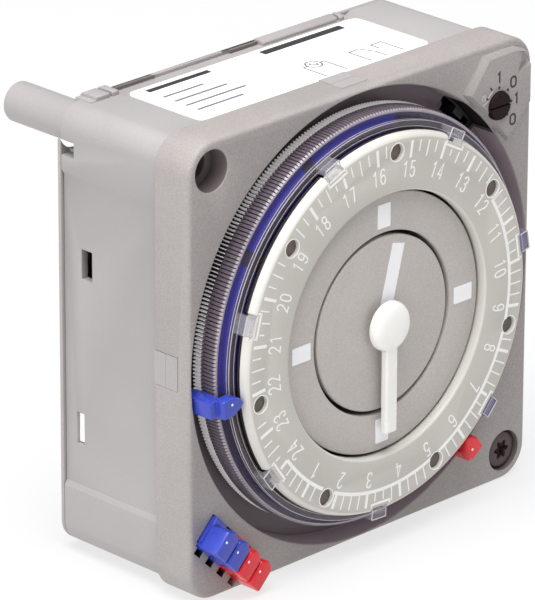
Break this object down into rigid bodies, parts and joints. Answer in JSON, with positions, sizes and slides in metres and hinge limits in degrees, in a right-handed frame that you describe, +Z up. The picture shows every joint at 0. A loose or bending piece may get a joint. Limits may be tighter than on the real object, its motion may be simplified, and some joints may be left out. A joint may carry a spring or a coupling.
{
  "type": "programmable timer",
  "caption": "Square flush-mounting timer: toothed programme ring with riders round a numbered dial, hour disc and minute hand, selector knob, deep housing with rear plug socket and screw tubes.",
  "frame": {"origin": "centre of the rear cover's flat back face, on the dial's axis", "axes": "the dial faces -Y, +Y points out of the flat back, +X is to the right seen from the front, +Z is up"},
  "size_m": [0.072, 0.0539, 0.072],
  "materials": {
    "front_plastic": "fine spark-eroded grain",
    "housing_plastic": "satin moulded",
    "label_paper": "smooth coated",
    "black_steel": "blackened",
    "dial_plastic": "fine grain with white print",
    "white_gloss": "gloss",
    "marker_print": "pad printed",
    "clear_ring": "clear tinted moulding",
    "tooth_ring_plastic": "translucent moulding",
    "blue_plastic": "gloss",
    "red_plastic": "gloss",
    "dark_plastic": "satin moulded",
    "frame_plastic": "glass filled",
    "gear_plastic": "acetal",
    "steel": "ground",
    "brass": "turned",
    "tinned_brass": "tinned",
    "copper_winding": "varnished wire",
    "board_green": "solder mask",
    "electronic_black": "moulded epoxy"
  },
  "bodies": {
    "case": {"front_plate": "front_plastic", "housing": "housing_plastic", "rear_cover": "housing_plastic", "label": "label_paper", "fixing_screw": "black_steel", "centre_plate": "dial_plastic", "hour_markers": "marker_print", "movement_plate": "frame_plastic", "rear_movement_plate": "frame_plastic", "pillars": "steel", "movement_screws": "steel", "minute_stud": "steel", "gearbox_case": "dark_plastic", "motor_stator": "steel", "motor_coil": "copper_winding", "circuit_board": "board_green", "backup_battery": "steel", "battery_clip": "tinned_brass", "quartz_crystal": "steel", "driver_chip": "electronic_black", "capacitor": "electronic_black", "socket_insulator": "electronic_black", "contact_tabs": "tinned_brass", "microswitch_case": "electronic_black", "microswitch_terminals": "brass", "lever_pin": "steel", "lever_spring": "steel", "selector_spring": "steel"},
    "programme_disc": {"programme_ring": "clear_ring", "rear_tooth_ring": "tooth_ring_plastic", "blue_band": "blue_plastic", "dial_plate": "dial_plastic", "programme_gear": "gear_plastic"},
    "hour_disc": {"hour_disc": "dial_plastic", "hour_wheel": "gear_plastic", "day_wheel": "gear_plastic"},
    "minute_hand": {"minute_hand": "white_gloss", "minute_arbor": "steel", "cannon_pinion": "brass", "centre_wheel": "gear_plastic"},
    "minute_wheel": {"minute_wheel": "gear_plastic", "minute_wheel_pinion": "gear_plastic"},
    "day_arbor": {"day_arbor": "steel", "day_pinion": "gear_plastic", "programme_pinion": "brass"},
    "drive_wheel": {"drive_wheel": "gear_plastic", "drive_shaft": "steel"},
    "selector": {"selector_knob": "dark_plastic", "selector_cam": "gear_plastic"},
    "rider_blue": {"rider_blue": "blue_plastic"},
    "rider_red": {"rider_red": "red_plastic"},
    "spare_rider_blue_1": {"spare_rider_blue_1": "blue_plastic"},
    "spare_rider_blue_2": {"spare_rider_blue_2": "blue_plastic"},
    "spare_rider_red_1": {"spare_rider_red_1": "red_plastic"},
    "spare_rider_red_2": {"spare_rider_red_2": "red_plastic"},
    "switch_lever": {"switch_lever": "dark_plastic"},
    "switch_plunger": {"switch_plunger": "red_plastic"}
  },
  "joints": [
    {"name": "programme_turn", "type": "hinge", "parent": "case", "child": "programme_disc", "pos_m": [0, -0.03, 0], "axis": [0, 1, 0], "continuous": true},
    {"name": "hour_disc_turn", "type": "hinge", "parent": "case", "child": "hour_disc", "pos_m": [0, -0.03, 0], "axis": [0, 1, 0], "continuous": true},
    {"name": "minute_hand_turn", "type": "hinge", "parent": "case", "child": "minute_hand", "pos_m": [0, -0.03, 0], "axis": [0, 1, 0], "continuous": true},
    {"name": "minute_wheel_turn", "type": "hinge", "parent": "case", "child": "minute_wheel", "pos_m": [-0.01088, -0.015, -0.00507], "axis": [0, 1, 0], "continuous": true},
    {"name": "day_arbor_turn", "type": "hinge", "parent": "case", "child": "day_arbor", "pos_m": [0.02114, -0.015, -0.00769], "axis": [0, 1, 0], "continuous": true},
    {"name": "drive_wheel_turn", "type": "hinge", "parent": "case", "child": "drive_wheel", "pos_m": [-0.006, -0.015, 0.01039], "axis": [0, 1, 0], "continuous": true},
    {"name": "selector_turn", "type": "hinge", "parent": "case", "child": "selector", "pos_m": [0.028, -0.03, 0.0263], "axis": [0, 1, 0], "range_deg": [-147, 45]},
    {"name": "rider_blue_slide", "type": "slide", "parent": "programme_disc", "child": "rider_blue", "axis": [0, -1, 0], "range_m": [0, 0.008]},
    {"name": "rider_red_slide", "type": "slide", "parent": "programme_disc", "child": "rider_red", "axis": [0, -1, 0], "range_m": [0, 0.008]},
    {"name": "spare_rider_blue_1_slide", "type": "slide", "parent": "case", "child": "spare_rider_blue_1", "axis": [0, -1, 0], "range_m": [0, 0.006]},
    {"name": "spare_rider_blue_2_slide", "type": "slide", "parent": "case", "child": "spare_rider_blue_2", "axis": [0, -1, 0], "range_m": [0, 0.006]},
    {"name": "spare_rider_red_1_slide", "type": "slide", "parent": "case", "child": "spare_rider_red_1", "axis": [0, -1, 0], "range_m": [0, 0.006]},
    {"name": "spare_rider_red_2_slide", "type": "slide", "parent": "case", "child": "spare_rider_red_2", "axis": [0, -1, 0], "range_m": [0, 0.006]},
    {"name": "switch_lever_turn", "type": "hinge", "parent": "case", "child": "switch_lever", "pos_m": [0.0095, -0.022, 0.0292], "axis": [0, 1, 0], "range_deg": [0, 2.5], "stiffness_Nm_per_rad": 0.01},
    {"name": "switch_plunger_slide", "type": "slide", "parent": "case", "child": "switch_plunger", "axis": [0, 0, -1], "range_m": [0, 0.0004]}
  ],
  "couplings": [
    {"joint": "hour_disc_turn", "follows": "programme_turn", "ratio": 2},
    {"joint": "minute_hand_turn", "follows": "programme_turn", "ratio": 24},
    {"joint": "minute_wheel_turn", "follows": "programme_turn", "ratio": -8},
    {"joint": "day_arbor_turn", "follows": "programme_turn", "ratio": -8},
    {"joint": "drive_wheel_turn", "follows": "programme_turn", "ratio": -24},
    {"joint": "switch_plunger_slide", "follows": "switch_lever_turn", "m_per_rad": 0.0065}
  ]
}
